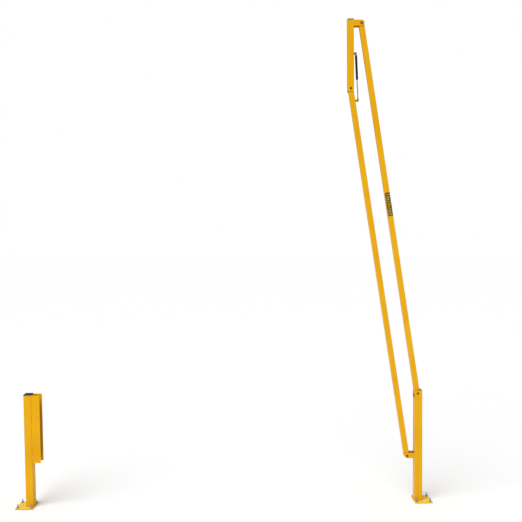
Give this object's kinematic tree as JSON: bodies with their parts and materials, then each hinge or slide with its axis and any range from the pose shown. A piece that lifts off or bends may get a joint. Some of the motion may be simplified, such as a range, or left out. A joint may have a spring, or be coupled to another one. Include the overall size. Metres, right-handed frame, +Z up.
{
  "type": "lift-up safety barrier",
  "caption": "Floor-bolted lift-up barrier: parallel rails with an end upright swing from a hinge post down into a receiver channel, carried by a gas strut.",
  "frame": {"origin": "on the floor, on the hinge post's axis, at the underside of its floor plate", "axes": "+Z up, -X along the opening from the hinge post to the receiver post, -Y at the front, where the bolt heads and the strut are"},
  "size_m": [4.0455, 0.17, 4.7367],
  "materials": {
    "yellow_paint": "satin",
    "black_plastic": "matt",
    "nylon": "satin",
    "zinc": "satin",
    "dark_fastener": "satin",
    "black_paint": "gloss",
    "chrome": "polished",
    "steel": "satin",
    "marker": "satin"
  },
  "bodies": {
    "posts": {"hinge_base_plate": "yellow_paint", "hinge_post": "yellow_paint", "hinge_head": "yellow_paint", "lower_hinge_lugs": "yellow_paint", "upper_hinge_bolt": "dark_fastener", "lower_hinge_bolt": "dark_fastener", "upper_hinge_nut": "dark_fastener", "lower_hinge_nut": "dark_fastener", "upper_hinge_spacers": "steel", "lower_hinge_washers": "nylon", "hinge_anchor_studs": "zinc", "hinge_anchor_clips": "zinc", "hinge_anchor_washers": "zinc", "hinge_anchor_nuts": "zinc", "receiver_anchor_studs": "zinc", "receiver_anchor_clips": "zinc", "receiver_anchor_washers": "zinc", "receiver_anchor_nuts": "zinc", "receiver_base_plate": "yellow_paint", "receiver_post": "yellow_paint", "receiver_cap": "black_plastic", "receiver_channel": "yellow_paint"},
    "upper_rail": {"upper_rail_tube": "yellow_paint", "upper_rail_bushes": "steel", "marker_plate": "marker"},
    "lower_rail": {"lower_rail_tube": "yellow_paint", "lower_rail_bushes": "steel", "strut_lower_tab": "yellow_paint", "strut_lower_stud_shank": "zinc", "strut_lower_stud_nut": "zinc"},
    "stile": {"end_stile": "yellow_paint", "stile_cap": "black_plastic", "stile_ears": "yellow_paint", "stile_upper_bolt": "zinc", "stile_upper_nut": "zinc", "stile_upper_head_washer": "dark_fastener", "stile_upper_washers": "nylon", "stile_lower_pin": "dark_fastener", "stile_lower_pin_nut": "dark_fastener", "stile_lower_washers": "nylon", "strut_upper_tab": "yellow_paint", "strut_upper_ball_stud": "zinc", "strut_upper_stud_nut": "zinc"},
    "strut_cylinder": {"strut_cylinder_tube": "black_paint", "strut_end_plug": "steel", "strut_gland": "steel", "strut_upper_socket": "zinc"},
    "strut_rod": {"strut_rod_bar": "chrome", "strut_piston": "steel", "strut_lower_socket": "zinc", "strut_lower_ball_stud": "zinc"}
  },
  "joints": [
    {"name": "gate_lift", "type": "hinge", "parent": "posts", "child": "upper_rail", "pos_m": [-0.008, 0, 1.072], "axis": [0, -1, 0], "range_deg": [0, 81.42], "stiffness_Nm_per_rad": 183, "springref_deg": -49.85},
    {"name": "lower_rail_swing", "type": "hinge", "parent": "posts", "child": "lower_rail", "pos_m": [-0.112, 0, 0.457], "axis": [0, -1, 0], "range_deg": [0, 81.42]},
    {"name": "stile_level", "type": "hinge", "parent": "upper_rail", "child": "stile", "pos_m": [-0.54509, 0, 4.63171], "axis": [0, -1, 0], "range_deg": [-81.42, 0]},
    {"name": "strut_swing", "type": "hinge", "parent": "stile", "child": "strut_cylinder", "pos_m": [-0.59908, -0.016, 4.34971], "axis": [0, -1, 0], "range_deg": [0, 11.59]},
    {"name": "strut_stroke", "type": "slide", "parent": "strut_cylinder", "child": "strut_rod", "axis": [-0.0412, 0, 0.9991], "range_m": [0, 0.15397]}
  ],
  "couplings": [
    {"joint": "lower_rail_swing", "follows": "gate_lift", "ratio": 1},
    {"joint": "stile_level", "follows": "gate_lift", "ratio": -1},
    {"joint": "strut_swing", "follows": "gate_lift", "ratio": 0.14218},
    {"joint": "strut_stroke", "follows": "gate_lift", "m_per_rad": 0.10828}
  ]
}
